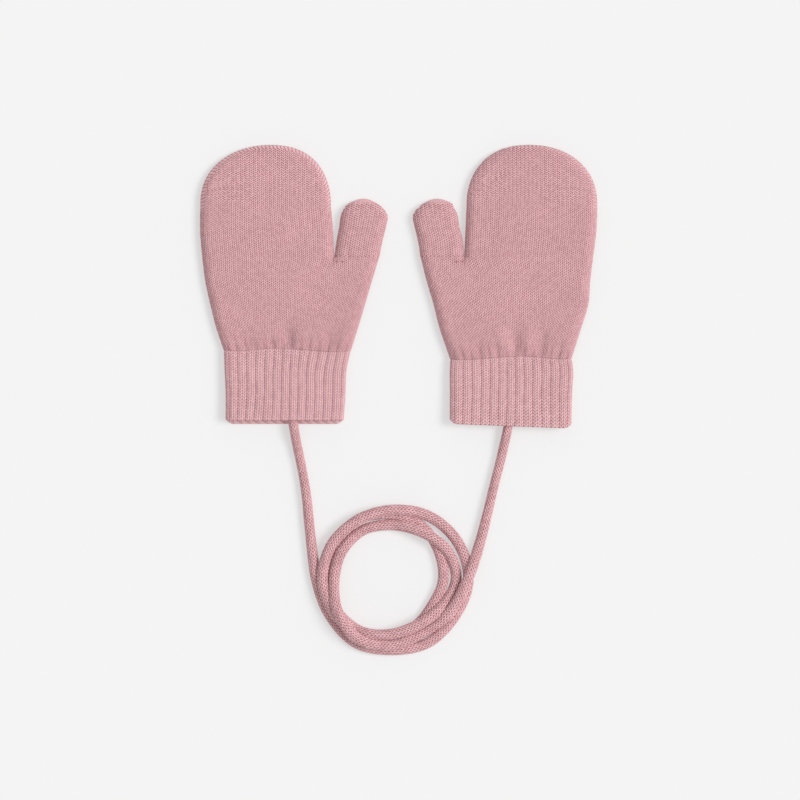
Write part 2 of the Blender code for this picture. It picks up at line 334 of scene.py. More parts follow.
def mesh_piece(name, points, faces, hollow_shade, material):
    """A finished piece at the origin, its points in metres, with its value of painted shade in the
    hollows.
    """
    data = bpy.data.meshes.new(name)
    data.from_pydata(points.tolist(), [], faces)
    data.validate(clean_customdata=False)
    attribute = data.attributes.new("hollow_shade", "FLOAT", "POINT")
    attribute.data.foreach_set("value", hollow_shade.astype(np.float32))
    data.materials.append(material)
    data.shade_smooth()
    piece = bpy.data.objects.new(name, data)
    bpy.context.scene.collection.objects.link(piece)
    print(name, "has", sum(len(face) - 2 for face in faces), "triangles")
    return piece


def knitted_wall(name, outer, inner, hollow_shade, step, material, turned, cells=None, wrap=False,
                 closed_top=False, inner_hollow_shade=0.35):
    """Join an outer grid, with its stitches, and an inner one into a closed wall.

    The columns of a turned grid run the other way, which would turn its faces inwards.
    """
    rows, columns = outer.shape[:2]
    if cells is None:
        cells = np.ones((rows - 1, columns - 1), bool)
    grids = [outer, inner, hollow_shade, cells, np.broadcast_to(inner_hollow_shade, inner.shape[:2])]
    if turned:
        grids = [grid[:, ::-1] for grid in grids]
    outer, inner, hollow_shade, cells, inner_hollow_shade = grids
    ids = np.arange(rows * columns).reshape(rows, columns)
    inner_ids = rows * columns + np.arange(inner_hollow_shade.size).reshape(inner_hollow_shade.shape)
    if wrap:
        ids[:, -1] = ids[:, 0]
        inner_ids[:, -1] = inner_ids[:, 0]
    if closed_top:
        for numbers in (ids, inner_ids):
            last = numbers.shape[1] - 1
            mirror = [min(i, (last - i) % last) for i in range(last + 1)]
            numbers[-1] = numbers[-1][mirror]
    faces = wall_faces(ids, cells, step, inner_ids, wrap, closed_top)
    points = np.concatenate((outer.reshape(-1, 3), inner.reshape(-1, 3)))
    # painted shade of both faces; the inner face gets an even mid shade unless one is given
    shade = np.concatenate((hollow_shade.ravel(), inner_hollow_shade.ravel()))
    used = np.zeros(len(points), bool)
    used[np.concatenate([np.array(face) for face in faces])] = True
    renumber = np.cumsum(used) - 1
    faces = [[int(renumber[i]) for i in face] for face in faces]
    return mesh_piece(name, points[used], faces, shade[used], material)


def lay_sheet(piece, node, flat, area):
    """Attach a knitted sheet to the root, hide the model's part that it stands for, and print its
    flat size in metres and its area.
    """
    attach(piece, "root")
    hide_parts(node)
    size = " by ".join(str(round(side, 4)) for side in flat)
    print(piece.name, "is cut", size, "m, area", round(area, 5))


print("walls are closed shells")

# %% [markdown]
# ## The joining cord
#
# A tubular knitted cord, limp and about 0.8 m long, runs out of one cuff, lies in three
# and a half turns of a loose coil, and runs into the other cuff. It is drawn first as a
# plan, as seen from above, and then left to settle: gravity pulls each strand down until it
# lies on the table or on the strand below. A rigid helix would not show how it rests.

# %% Plan of the cord
CORD_DIAMETER = 4.6
COIL_CENTRE = (-3.5, -136.8)
POINT_SPACING = 1.2
LEFT_RUN_BEARING = 150.0     # bearings that stand for the runs before and after the coil
RIGHT_RUN_BEARING = 1440.0
RIGHT_RUN_STEP = 10.0

# columns: x, y, height of its axis, in mm
LEFT_RUN = (
    (-50.6, -53.5, 3.2),
    (-49.4, -61.5, 3.5),
    (-48.6, -66.5, 4.2),
    (-47.3, -74.0, 2.5),
    (-45.2, -84.0, 2.3),
    (-42.9, -98.0, 2.3),
    (-41.5, -112.0, 2.3),
    (-40.3, -123.0, 2.3),
)
RIGHT_RUN = (
    (52.8, -55.0, 3.2),
    (51.2, -63.4, 3.5),
    (50.2, -68.5, 3.4),
    (48.3, -77.0, 2.3),
    (43.8, -95.0, 2.3),
    (39.7, -112.0, 2.3),
    (36.5, -123.5, 2.3),
)
# Radius of each turn, in mm, every 30 degrees anticlockwise from the +X side.
TURN_STEP = 30
FIRST_BEARING = 180
TURNS = (
    (34.8, 32.9, 33.5, 32.3, 33.7, 33.9),
    (35.9, 35.7, 34.6, 32.8, 32.1, 32.4, 31.9, 30.4, 28.8, 26.3, 23.9, 22.3),
    (24.2, 25.9, 28.9, 30.8, 32.2, 29.8, 28.9, 28.9, 27.5, 24.9, 23.9, 26.1),
    (30.2, 29.4, 26.5, 25.8, 26.8, 26.6, 26.5, 28.6, 31.1, 30.0, 28.4, 30.8),
    (35.3,),
)


def coil_plan():
    """Plan points of the coil, turn after turn, each with its bearing."""
    bearing = FIRST_BEARING
    points = []
    for turn in TURNS:
        for radius in turn:
            angle = math.radians(bearing)
            x = COIL_CENTRE[0] + radius * math.cos(angle)
            y = COIL_CENTRE[1] + radius * math.sin(angle)
            points.append((x, y, CORD_DIAMETER / 2, bearing))
            bearing += TURN_STEP
    return points


def curve_through(places, values, at):
    """A smooth curve through one or more columns of values at their places, read elsewhere."""
    slopes = np.gradient(values, places, axis=0)
    i = np.clip(np.searchsorted(places, at, side="right") - 1, 0, len(places) - 2)
    span = places[i + 1] - places[i]
    t = (at - places[i]) / span
    if values.ndim == 2:
        span, t = span[:, None], t[:, None]
    start = (1 + 2 * t) * (1 - t) ** 2 * values[i] + t * (1 - t) ** 2 * span * slopes[i]
    end = t * t * (3 - 2 * t) * values[i + 1] - t * t * (1 - t) * span * slopes[i + 1]
    return start + end


def length_along(points):
    """Length from the first point to each one."""
    steps = np.linalg.norm(np.diff(points, axis=0), axis=1)
    return np.concatenate(([0.0], np.cumsum(steps)))


def even_out(values):
    """Move each inner value half way to the middle of its neighbours."""
    values[1:-1] = 0.25 * values[:-2] + 0.5 * values[1:-1] + 0.25 * values[2:]


left_plan = [(*point, LEFT_RUN_BEARING) for point in LEFT_RUN]
right_plan = [(*point, RIGHT_RUN_BEARING + RIGHT_RUN_STEP * i)
              for i, point in enumerate(reversed(RIGHT_RUN), 1)]
plan_points = np.array(left_plan + coil_plan() + right_plan, float)
plan_length = length_along(plan_points[:, :2])
plan_steps = np.linspace(0.0, plan_length[-1], int(plan_length[-1] / POINT_SPACING) + 1)
cord_plan = curve_through(plan_length, plan_points, plan_steps)
print("the plan has", len(cord_plan), "points")

# %% [markdown]
# Where two strands cross, the later one lies on the earlier. The second turn is the one
# exception: it lies over the third across the top and down the left side.

# %% Let the strands settle
PILE_WIDTH = 4.4         # strands further apart than this, in plan, pass beside each other
PILE_HEIGHT = 3.3        # one strand squarely on another
RESTING_AXIS = 0.92 * CORD_DIAMETER / 2
SAME_STRAND = 5 * CORD_DIAMETER     # points closer than this along the cord are one strand
SAG = 0.03
SETTLE_STEPS = 400
TALLEST_AXIS = 10.5
# Bearings on the second turn and on the third, in degrees counted on from turn to turn.
LIES_OVER = ((360, 720), (740, 910))
ROLLS_PAST = ((500, 640), (910, 965))       # hidden under the fourth turn


def on_stretches(bearings, first, second, stretches):
    """True where the earlier point lies on the first stretch and the later on the second."""
    (first_from, first_to), (second_from, second_to) = stretches
    on_first = (bearings[first] > first_from) & (bearings[first] < first_to)
    return on_first & (bearings[second] >= second_from) & (bearings[second] < second_to)


def settle(plan):
    """Heights of the cord's axis once it has sunk onto the table and onto itself."""
    bearings = plan[:, 3]
    apart = np.linalg.norm(plan[:, None, :2] - plan[None, :, :2], axis=2)
    order = np.arange(len(plan))
    separate = (order[None, :] - order[:, None]) * POINT_SPACING > SAME_STRAND
    first, second = np.nonzero((apart < PILE_WIDTH) & separate)
    rolls = on_stretches(bearings, first, second, ROLLS_PAST)
    first, second = first[~rolls], second[~rolls]
    swap = on_stretches(bearings, first, second, LIES_OVER)
    lower = np.where(swap, second, first)
    upper = np.where(swap, first, second)
    rise = PILE_HEIGHT * np.sqrt(1 - (apart[first, second] / PILE_WIDTH) ** 2)
    floor = np.maximum(plan[:, 2], RESTING_AXIS)
    floor[(bearings > LEFT_RUN_BEARING + 5) & (bearings < RIGHT_RUN_BEARING + 5)] = RESTING_AXIS
    height = floor.copy()
    for _ in range(SETTLE_STEPS):
        even_out(height)
        height = np.maximum(height - SAG, floor)
        np.maximum.at(height, upper, np.minimum(height[lower] + rise, TALLEST_AXIS))
    for _ in range(4):
        even_out(height)
    return np.maximum(height, floor)


cord_path = np.column_stack((cord_plan[:, :2], settle(cord_plan))) * MM
cord_length = float(length_along(cord_path)[-1])
print("cord length", round(cord_length, 3), "m, highest point of its axis",
      round(cord_path[:, 2].max() / MM, 1), "mm")

# %% [markdown]
# The cord itself is knitted in the round on eight stitches. Its tube is a little oval,
# because a hollow knitted cord slumps under its own weight, and flatter still where the
# cuff holds it between its two layers.

# %% Knit the cord
CORD_WALES = 8
ROWS_A_CORD_COURSE = 4
CORD_COLUMNS = 6 * CORD_WALES
CORD_ROW = 0.42
CORD_RELIEF = 0.42
CORD_TWIST = (0.4, 310 * MM)    # slow turns of the tube, in stitches
CUFF_GRIP = 13.0         # length at each end that the cuff flattens
HALF_HEIGHTS = (1.45, 2.05)     # in the cuff, free
STRAIGHT_RUN = 70.0      # length at each end that is pulled a little thinner
HALF_WIDTHS = (2.12, 2.48)      # on the straight runs, in the coil
SLACKNESS = (0.035, 47 * MM)


def cord_sections(path):
    """Half width and half height of the cord along its path, in metres."""
    along = length_along(path)
    to_end = np.minimum(along, along[-1] - along) / MM
    free = np.clip(to_end / CUFF_GRIP, 0.0, 1.0) ** 2
    half_height = HALF_HEIGHTS[0] + (HALF_HEIGHTS[1] - HALF_HEIGHTS[0]) * free
    in_coil = np.clip(to_end / STRAIGHT_RUN, 0.0, 1.0) ** 4
    half_width = HALF_WIDTHS[0] + (HALF_WIDTHS[1] - HALF_WIDTHS[0]) * in_coil
    slack = (1 + slow_waves(along, along * 0.4, *SLACKNESS)) * MM
    return along, half_width * slack, half_height * slack


def knit_cord():
    """The cord's tube along its settled path, with both ends closed."""
    rows = int(cord_length / (CORD_ROW * MM))
    source = length_along(cord_path)
    even = np.linspace(0.0, source[-1], rows)
    path = np.column_stack([np.interp(even, source, cord_path[:, k]) for k in range(3)])
    for _ in range(6):
        even_out(path)
    along, half_width, half_height = cord_sections(path)
    tangent = np.gradient(path, axis=0)
    tangent /= np.linalg.norm(tangent, axis=1, keepdims=True)
    across = np.cross(tangent, (0.0, 0.0, 1.0))
    across /= np.linalg.norm(across, axis=1, keepdims=True)
    upward = np.cross(across, tangent)
    column = np.arange(CORD_COLUMNS + 1)[None, :]
    twist = slow_waves(along, 0.0, *CORD_TWIST)[:, None]
    angle = 2 * math.pi * (column / CORD_COLUMNS + twist / CORD_WALES)
    wales = CORD_WALES * column / CORD_COLUMNS
    courses = np.arange(rows)[:, None] / ROWS_A_CORD_COURSE
    knit = stitch_height(wales, courses)
    relief = CORD_RELIEF * MM * (knit - 0.6)
    wide = (half_width[:, None] + relief) * np.cos(angle)
    tall = (half_height[:, None] + relief) * np.sin(angle)
    ring = path[:, None] + wide[..., None] * across[:, None] + tall[..., None] * upward[:, None]
    ring[..., 2] = np.maximum(ring[..., 2], 0.0)
    ids = np.arange(rows * CORD_COLUMNS).reshape(rows, CORD_COLUMNS)
    ids = np.concatenate((ids, ids[:, :1]), axis=1)
    quads = np.stack((ids[:-1, :-1], ids[1:, :-1], ids[1:, 1:], ids[:-1, 1:]), -1).reshape(-1, 4)
    faces = quads.tolist() + [ids[0, :-1].tolist(), ids[-1, -2::-1].tolist()]
    points = ring[:, :-1].reshape(-1, 3)
    # painted shade between the cord's stitches
    hollow_shade = 1 - knit[:, :-1].ravel()
    return mesh_piece("joining_cord", points, faces, hollow_shade, cord_yarn)


cord = knit_cord()
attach(cord, "root")
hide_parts("cord_left", "cord_right", "cord_coil")

# %% [markdown]
# ## Shape of the hands
#
# Each hand is knitted flat-sided: a back and a palm that lie on each other, with the gore
# of the thumb beside the crotch. A few rows of widths give the outline, as on a pattern
# sheet, and a smooth curve runs through them. The same widths serve the back and the palm.

# %% Pattern sheets, in mm from each mitten's centre line
# columns: y, little-finger edge, line from the crotch to the cuff, thumb-side edge
HAND_ROWS = {
    "left": (
        (36.6, 30.5, 30.5, 30.5),
        (25.4, 30.5, 31.5, 31.5),
        (14.2, 29.6, 31.8, 53.1),
        (3.0, 28.2, 32.0, 49.7),
        (-8.2, 25.8, 30.4, 46.4),
        (-19.3, 23.0, 28.2, 43.1),
        (-29.6, 19.6, 25.4, 39.8),
    ),
    "right": (
        (36.6, 30.5, 30.5, 30.5),
        (25.4, 30.0, 31.0, 31.0),
        (14.2, 28.6, 31.5, 52.0),
        (3.0, 27.2, 31.4, 49.2),
        (-8.2, 26.3, 29.8, 45.9),
        (-19.3, 23.0, 27.6, 43.1),
        (-33.3, 18.6, 24.2, 38.2),
    ),
}
# columns: y, edge next to the hand, far edge
THUMB_ROWS = {
    "left": ((14.2, 32.0, 53.1), (22.6, 33.2, 54.8), (28.2, 34.3, 56.2), (33.8, 35.2, 56.6),
             (36.6, 36.6, 54.6), (39.2, 39.6, 51.2), (40.4, 42.6, 48.6)),
    "right": ((14.2, 31.7, 52.0), (22.6, 32.3, 53.4), (28.2, 33.8, 54.8), (33.8, 34.7, 55.2),
              (36.6, 36.1, 53.2), (39.2, 38.0, 49.6), (40.4, 41.0, 47.0)),
}
# columns: y, little-finger edge, thumb-side edge
CUFF_ROWS = {
    "left": ((-29.62, 19.6, 39.8), (-38.9, 19.3, 38.0), (-50.1, 18.8, 37.5), (-61.7, 18.8, 36.6)),
    "right": ((-33.32, 18.6, 38.2), (-37.5, 19.3, 38.5), (-50.1, 18.9, 38.5), (-61.7, 18.5, 38.5)),
}
CENTRES = {"left": -62.0, "right": 62.0}
THUMB_WAY = {"left": 1, "right": -1}
TIP_LEAN = {"left": 2.6, "right": 1.2}
CROTCH_Y = 14.2
SHOULDER_Y = 38.0
TIP_REACH = 28.0
TIP_POWER = 2.2
LAST_TIP_ANGLE = 77.0
print("the hands are", TIP_REACH + SHOULDER_Y - HAND_ROWS["left"][-1][0], "mm long above the cuff")

# %% Widths on a smooth curve
def column_curve(table, column, y):
    """One column of a pattern sheet at heights y, on a smooth curve through its rows."""
    rows = sorted(table)
    heights = np.array([row[0] for row in rows])
    values = np.array([row[column] for row in rows])
    return curve_through(heights, values, np.clip(y, heights[0], heights[-1]))


def hand_widths(side, y):
    """Little-finger edge, crotch line and thumb-side edge at heights y, in mm."""
    table = HAND_ROWS[side]
    below = [row for row in table if row[0] <= CROTCH_Y]
    above = [(row[0], row[1], row[2]) for row in table if row[0] >= CROTCH_Y]
    low_part = y <= CROTCH_Y
    outer = np.where(low_part, column_curve(below, 1, y), column_curve(above, 1, y))
    line = np.where(low_part, column_curve(below, 2, y), column_curve(above, 2, y))
    gore = np.where(low_part, column_curve(below, 3, y), below[0][3])
    rise = np.clip((y - SHOULDER_Y) / TIP_REACH, 0.0, 1.0)
    narrowing = (1 - rise ** TIP_POWER) ** (1 / TIP_POWER)
    lean = TIP_LEAN[side] * rise ** 3
    return outer * narrowing - lean, line * narrowing + lean, gore


print("widest part of the left hand:",
      round(float(sum(w[0] for w in hand_widths("left", np.array([14.2]))[::2])), 1), "mm")

# %% [markdown]
# ## Knit the hands
#
# The cloth rolls over at its edges, dips at the crotch, and is drawn in above the cuff,
# where a few soft gathers run up into the hand. The closing seam round the fingertips shows
# as slanted stitches along the edge, and two picked-up stitches leave small holes under
# the crotch.

# %% Sizes of the hand knit
HAND_TOP = 5.6
BACK_EDGE_Z = 2.1
BACK_ROLL = 4.6
CROWN = 0.5              # how much fuller the middle of the hand is
CROWN_REACH = 30.0
PALM_EDGE_Z = 1.85
PALM_ROLL = 2.2
WALL = 1.45
HAND_WALES = 34
GORE_WALES = 12
BODY_BLOCKS = 27         # blocks of rows from the cuff to the crotch
FINGER_BLOCKS = 15       # from there to the shoulder
TIP_BLOCKS = 15          # up the fingertip
CROWN_BLOCKS = 6         # and close together at its top
TIP_ANGLE = 60.0         # where the rows start to lie closer
ROWS_A_COURSE = {4: 3, 6: 4}   # for each fineness, so that every stitch is drawn alike
BACK_RELIEF = 0.46
PALM_RELIEF = 0.34
SCARF = 0.5              # slant of a joint between pieces, so that no light passes through it
# Slow waves, each as its amount and its length.
SWAY_ACROSS = (0.55, 37.0)
SWAY_ALONG = (0.45, 31.0)
SWELL = (0.16, 43.0)
EDGE_CALM = 8.0          # how far in from an edge the stitches sway in full
WRIST_REACH = 10.0       # how far up the hand follows the line of the wrist
CROTCH_REACH = 9.0       # how far below the crotch its two edges start to roll over
CROTCH_STEEPNESS = 1.15
ROLLED_WIDTH = 3.0       # what the rolled edges add to the flat width of a panel
ROLLED_LENGTH = 1.0
SEAM_PITCH = 1.65
SEAM_WIDTH = 2.1
SEAM_SLANT = 0.9
SEAM_CENTRE_Y = 32.0     # centre of the fingertip's curve, along which the seam is counted
SEAM_RADIUS = 31.0
SEAM_SHOWS = {"left": (1.0, 0.9), "right": (0.6, 0.2)}   # outer side, thumb side
GATHER_DEPTH = 1.4
PALM_GATHER = 0.35       # share of it on the palm
# columns: distance from the centre line, half width, depth, reach above the cuff, lean
GATHERS = {
    "left": (
        (-8.0, 3.4, 0.5, 13.0, -0.10),
        (9.8, 2.6, 0.85, 17.0, 0.02),
        (28.5, 3.2, 0.6, 13.0, 0.2),
        (-14.5, 2.2, 0.3, 8.0, -0.15),
        (2.5, 2.2, 0.3, 9.0, 0.0),
    ),
    "right": (
        (-3.0, 2.8, 0.8, 20.0, -0.10),
        (7.7, 2.8, 0.95, 19.0, 0.05),
        (24.0, 3.2, 0.4, 12.0, 0.2),
        (-11.0, 2.0, 0.3, 9.0, -0.2),
        (15.5, 2.2, 0.35, 10.0, 0.1),
    ),
}
# columns: how far towards the thumb and below the crotch, radius, depth
CROTCH_HOLES = ((1.0, 2.6, 0.6, 0.35), (3.9, 2.9, 0.6, 0.35))


def quarter_round(distance, radius):
    """0 at an edge, rising to 1 over a quarter circle of the radius."""
    t = np.clip(distance / radius, 0.0, 1.0)
    return np.sqrt(1 - (1 - t) ** 2)


def fullness(distance):
    """How much a laid mitten swells towards its middle."""
    t = np.clip(distance / CROWN_REACH, 0.0, 1.0)
    return CROWN * t * (2 - t)


def rolled_over(run, reach):
    """Share of the width that a run of cloth takes up where it rolls over."""
    turned = np.clip(run / np.maximum(reach, 1e-9), 0, 1) * math.pi / 2
    return 2 / math.pi * reach * (1 - np.cos(turned))


def edge_spacing(count, width, roll, roll_start, roll_end):
    """Shares from 0 to 1 that lie closer together where an end rolls over."""
    even = np.linspace(0.0, 1.0, count + 1)[None, :]
    reach = math.pi / 2 * roll / width
    start = reach * roll_start[:, None]
    end = reach * roll_end[:, None]
    length = 1 + (start + end) * (1 - 2 / math.pi)
    run = even * length
    left = length - run
    middle = run - start * (1 - 2 / math.pi)
    shares = np.where(left < end, 1 - rolled_over(left, end), middle)
    return np.where(run < start, rolled_over(run, start), shares)


# %% Grid of one hand panel
def panel_rows(side, fineness):
    """Heights of the rows: cuff to crotch, crotch to shoulder, shoulder to fingertip."""
    cuff_y = HAND_ROWS[side][-1][0]
    body = np.linspace(cuff_y, CROTCH_Y, BODY_BLOCKS * fineness + 1)
    finger = np.linspace(CROTCH_Y, SHOULDER_Y, FINGER_BLOCKS * fineness + 1)[1:]
    low_tip = TIP_REACH * math.sin(math.radians(TIP_ANGLE))
    tip = SHOULDER_Y + np.linspace(0.0, low_tip, TIP_BLOCKS * fineness + 1)[1:]
    angles = np.radians(np.linspace(TIP_ANGLE, LAST_TIP_ANGLE, CROWN_BLOCKS * fineness + 1)[1:])
    return np.concatenate((body, finger, tip, SHOULDER_Y + TIP_REACH * np.sin(angles)))


def course_count(rows, even_rows, rows_a_course):
    """Courses counted along the rows; past the evenly spaced rows they keep their height."""
    count = np.arange(len(rows)) / rows_a_course
    pitch = (rows[even_rows] - rows[even_rows - 1]) * rows_a_course
    past = rows[even_rows:] - rows[even_rows]
    count[even_rows:] = count[even_rows] + past / pitch
    return count


def sway(side, x, y, inside):
    """Shift of the stitches in x and y, in mm, fading to nothing at the edges."""
    above_cuff = np.clip((y - HAND_ROWS[side][-1][0]) / EDGE_CALM, 0.0, 1.0)
    across = slow_waves(x, y, *SWAY_ACROSS) * inside * above_cuff
    along = slow_waves(y, x, *SWAY_ALONG) * inside * above_cuff
    return across, along


def panel_plan(side, fineness):
    """Plan of a panel: x, y, height of its rows, its widths, and its columns above the crotch."""
    y = panel_rows(side, fineness)
    outer, line, gore = hand_widths(side, y)
    width = (outer + line)[:, None]
    to_crotch = np.clip(1 + (y - CROTCH_Y) / CROTCH_REACH, 0.0, 1.0)
    to_crotch = to_crotch ** 2 * (3 - 2 * to_crotch)
    ones = np.ones_like(y)
    hand_width = float((outer + line).max())
    gore_width = float((gore - line).max())
    hand = edge_spacing(HAND_WALES * fineness, hand_width, BACK_ROLL, ones, to_crotch)
    beside = edge_spacing(GORE_WALES * fineness, gore_width, BACK_ROLL, to_crotch, ones)
    x_hand = -outer[:, None] + hand * width
    x_gore = line[:, None] + beside[:, 1:] * (gore - line)[:, None]
    x = np.concatenate((x_hand, x_gore), axis=1)
    y_grid = np.repeat(y[:, None], x.shape[1], axis=1)
    middle = (line - outer)[-1] / 2
    half = (line + outer)[-1] / 2
    crown = SHOULDER_Y + TIP_REACH - y[-1]
    columns = HAND_WALES * fineness + 1
    y_grid[-1, :columns] += crown * (1 - ((x_hand[-1] - middle) / half) ** 2)
    return x, y_grid, y, (outer, line, gore), columns


def outline_distance(side, x, y, rows, widths, columns):
    """How far each point lies inside the panel's outline."""
    outer, line, gore = (w[:, None] for w in widths)
    hand_part = np.arange(x.shape[1])[None, :] < columns
    above = rows[:, None] > CROTCH_Y
    half = (outer + line) / 2
    centre = (line - outer) / 2
    rise = np.clip((y - SHOULDER_Y) / TIP_REACH, 0.0, 1.0)
    shoulder_half = HAND_ROWS[side][0][1]
    reach = np.abs(x - centre) / shoulder_half
    radius = (reach ** TIP_POWER + rise ** TIP_POWER) ** (1 / TIP_POWER)
    tip = (1 - radius) * (shoulder_half * (1 - rise) + TIP_REACH * rise)
    straight = np.where(above, half - np.abs(x - centre), np.minimum(x + outer, gore - x))
    distance = np.where(rows[:, None] > SHOULDER_Y, tip, straight)
    crotch_x = float(hand_widths(side, np.array([CROTCH_Y]))[1][0])
    to_crotch = np.hypot(x - crotch_x, np.minimum(y - CROTCH_Y, 0.0))
    distance = np.where(above, distance, np.minimum(distance, CROTCH_STEEPNESS * to_crotch))
    distance = np.where(above & ~hand_part, 0.0, distance)
    return np.maximum(distance, 0.0)


# %% Knit pattern of one hand panel
def run_straight(wales, x, rows, start_y, lean):
    """Above start_y the wales keep their lean, and the rounded edge cuts them off."""
    start = int(np.searchsorted(rows, start_y)) - 1
    for row in range(start + 1, len(rows)):
        shifted = x[row] - lean * (rows[row] - rows[start])
        wales[row] = np.interp(shifted, x[start], wales[start])


def edge_run(x, y):
    """Length along the fingertip's edge, in mm, for the closing seam."""
    return SEAM_RADIUS * np.arctan2(y - SEAM_CENTRE_Y, x)


def seam_height(run, distance):
    """Slanted closing stitches that lie across the last millimetres of the edge."""
    slant = run / SEAM_PITCH + SEAM_SLANT * distance / SEAM_WIDTH
    stitch = np.abs(np.mod(slant, 1.0) - 0.5) / 0.44
    across = (distance - 0.42 * SEAM_WIDTH) / (0.62 * SEAM_WIDTH)
    grain = np.sqrt(np.clip(1 - stitch ** 2 - across ** 2, 0.0, 1.0))
    return 0.25 + 0.65 * variety(np.array(3), slant) * grain


def hand_knit(side, x, y, rows, distance, columns, fineness):
    """Height of the knit, which is 0 to 1 but for the holes, and its painted shade in the hollows.
    """
    wales = np.repeat(np.arange(x.shape[1])[None, :] / fineness, len(rows), axis=0)
    run_straight(wales[:, :columns], x[:, :columns], rows, SHOULDER_Y, 0.0)
    even_rows = (BODY_BLOCKS + FINGER_BLOCKS + TIP_BLOCKS) * fineness
    courses = course_count(rows, even_rows, ROWS_A_COURSE[fineness])
    knit = stitch_height(wales, courses[:, None])
    seam_share = np.clip((SEAM_WIDTH - distance) / 0.5, 0.0, 1.0)
    seam_share = seam_share * np.clip((y - SHOULDER_Y + 4) / 3, 0, 1)
    seam_share = seam_share * np.interp(x, (-12.0, 12.0), SEAM_SHOWS[side])
    seam = seam_height(edge_run(x, y), distance)
    knit = knit * (1 - seam_share) + seam * seam_share
    # painted shade: darker down between the stitches
    hollow_shade = 1 - knit
    crotch_x = float(hand_widths(side, np.array([CROTCH_Y]))[1][0])
    for towards, below, radius, depth in CROTCH_HOLES:
        away = ((x - crotch_x - towards) ** 2 + (y - CROTCH_Y + below) ** 2) / radius ** 2
        hole = np.exp(-away)
        knit = knit - hole * depth / BACK_RELIEF
        # the holes are painted dark, as shade inside them
        hollow_shade = np.maximum(hollow_shade, hole)
    return knit, np.clip(hollow_shade, 0.0, 1.0)


def gathers(side, x, y):
    """Depth of the soft gathers above the cuff."""
    cuff_y = HAND_ROWS[side][-1][0]
    depth_here = np.zeros_like(x)
    for at, half_width, depth, reach, lean in GATHERS[side]:
        up = y - cuff_y
        along = np.clip(1 - up / reach, 0.0, 1.0)
        spread = half_width * (1 + 0.5 * up / reach)
        across = np.exp(-(((x - at - lean * up) / spread) ** 2))
        trough = 27 / 4 * along ** 2 * (1 - along)
        ridge = np.exp(-(((x - at - lean * up - 1.9 * spread) / spread) ** 2))
        depth_here += GATHER_DEPTH * depth * (across - 0.45 * ridge) * trough
    return depth_here


# %% [markdown]
# The furrows between the ribs run on for a few courses into the hand and fade there, as they
# do where rib meets stocking stitch.

# %% Echo of the ribs above the cuff
RIBS = 30
RIB_WALES = 2            # knit wales that show in a rib; the purl wale hides between two ribs
ECHO_DEPTH = 0.3
ECHO_REACH = 5.2
ECHO_SHADE = 0.16
WRIST_WANDER = (1.3, 37.0)


def tube_section(count, width, height, roll):
    """One turn round a flat tube from its first edge: shares of width and height."""
    corner = math.pi / 2 * math.sqrt((roll ** 2 + (height / 2) ** 2) / 2)
    flat = width - 2 * roll
    face = 2 * corner + flat
    run = np.linspace(0.0, 2 * face, count + 1)
    on_top = run <= face
    t = np.where(on_top, run, 2 * face - run)
    angle_in = np.clip(t / corner, 0.0, 1.0) * math.pi / 2
    angle_out = np.clip((face - t) / corner, 0.0, 1.0) * math.pi / 2
    x = roll * (1 - np.cos(angle_in)) + np.clip(t - corner, 0.0, flat)
    x = x + roll * np.cos(angle_out) * (t > face - corner)
    rise = np.minimum(np.sin(angle_in), np.sin(angle_out))
    return x / width, np.where(on_top, rise, -rise)


def valley_at(turns):
    """1 in the hidden purl wale between two ribs, 0 along the middle of a rib."""
    off_valley = np.abs(np.mod(turns + RIB_WALES / 2, RIB_WALES) - RIB_WALES / 2)
    return np.exp(-((off_valley / 0.4) ** 2))


def wrist_line(x):
    """How far the line between rib and hand wanders from straight, in mm."""
    return slow_waves(x, 0.0, *WRIST_WANDER)


def rib_echo(side, x, y, widths):
    """1 in the ribs' furrows just above the cuff, fading up the hand."""
    outer, line, gore = (w[:, None] for w in widths)
    cuff_width = sum(CUFF_ROWS[side][0][1:])
    across, rise = tube_section(RIB_WALES * RIBS, cuff_width, HAND_TOP, HAND_TOP / 2)
    half_way = RIB_WALES * RIBS // 2
    share = (x + outer) / (gore + outer)
    turns = np.interp(share, across[:half_way + 1], np.arange(half_way + 1))
    up = (y - HAND_ROWS[side][-1][0]) / ECHO_REACH
    return valley_at(turns) * np.exp(-up ** 2)


# %% Make the backs and palms
def panel_normals(points, rows, columns):
    """Normals, taken apart above the crotch, where the hand and the gore don't meet."""
    normals = surface_normals(points)
    above = int(np.searchsorted(rows, CROTCH_Y + 0.01))
    normals[above - 1:, :columns] = surface_normals(points[above - 1:, :columns])
    normals[:above] = surface_normals(points[:above])
    return normals


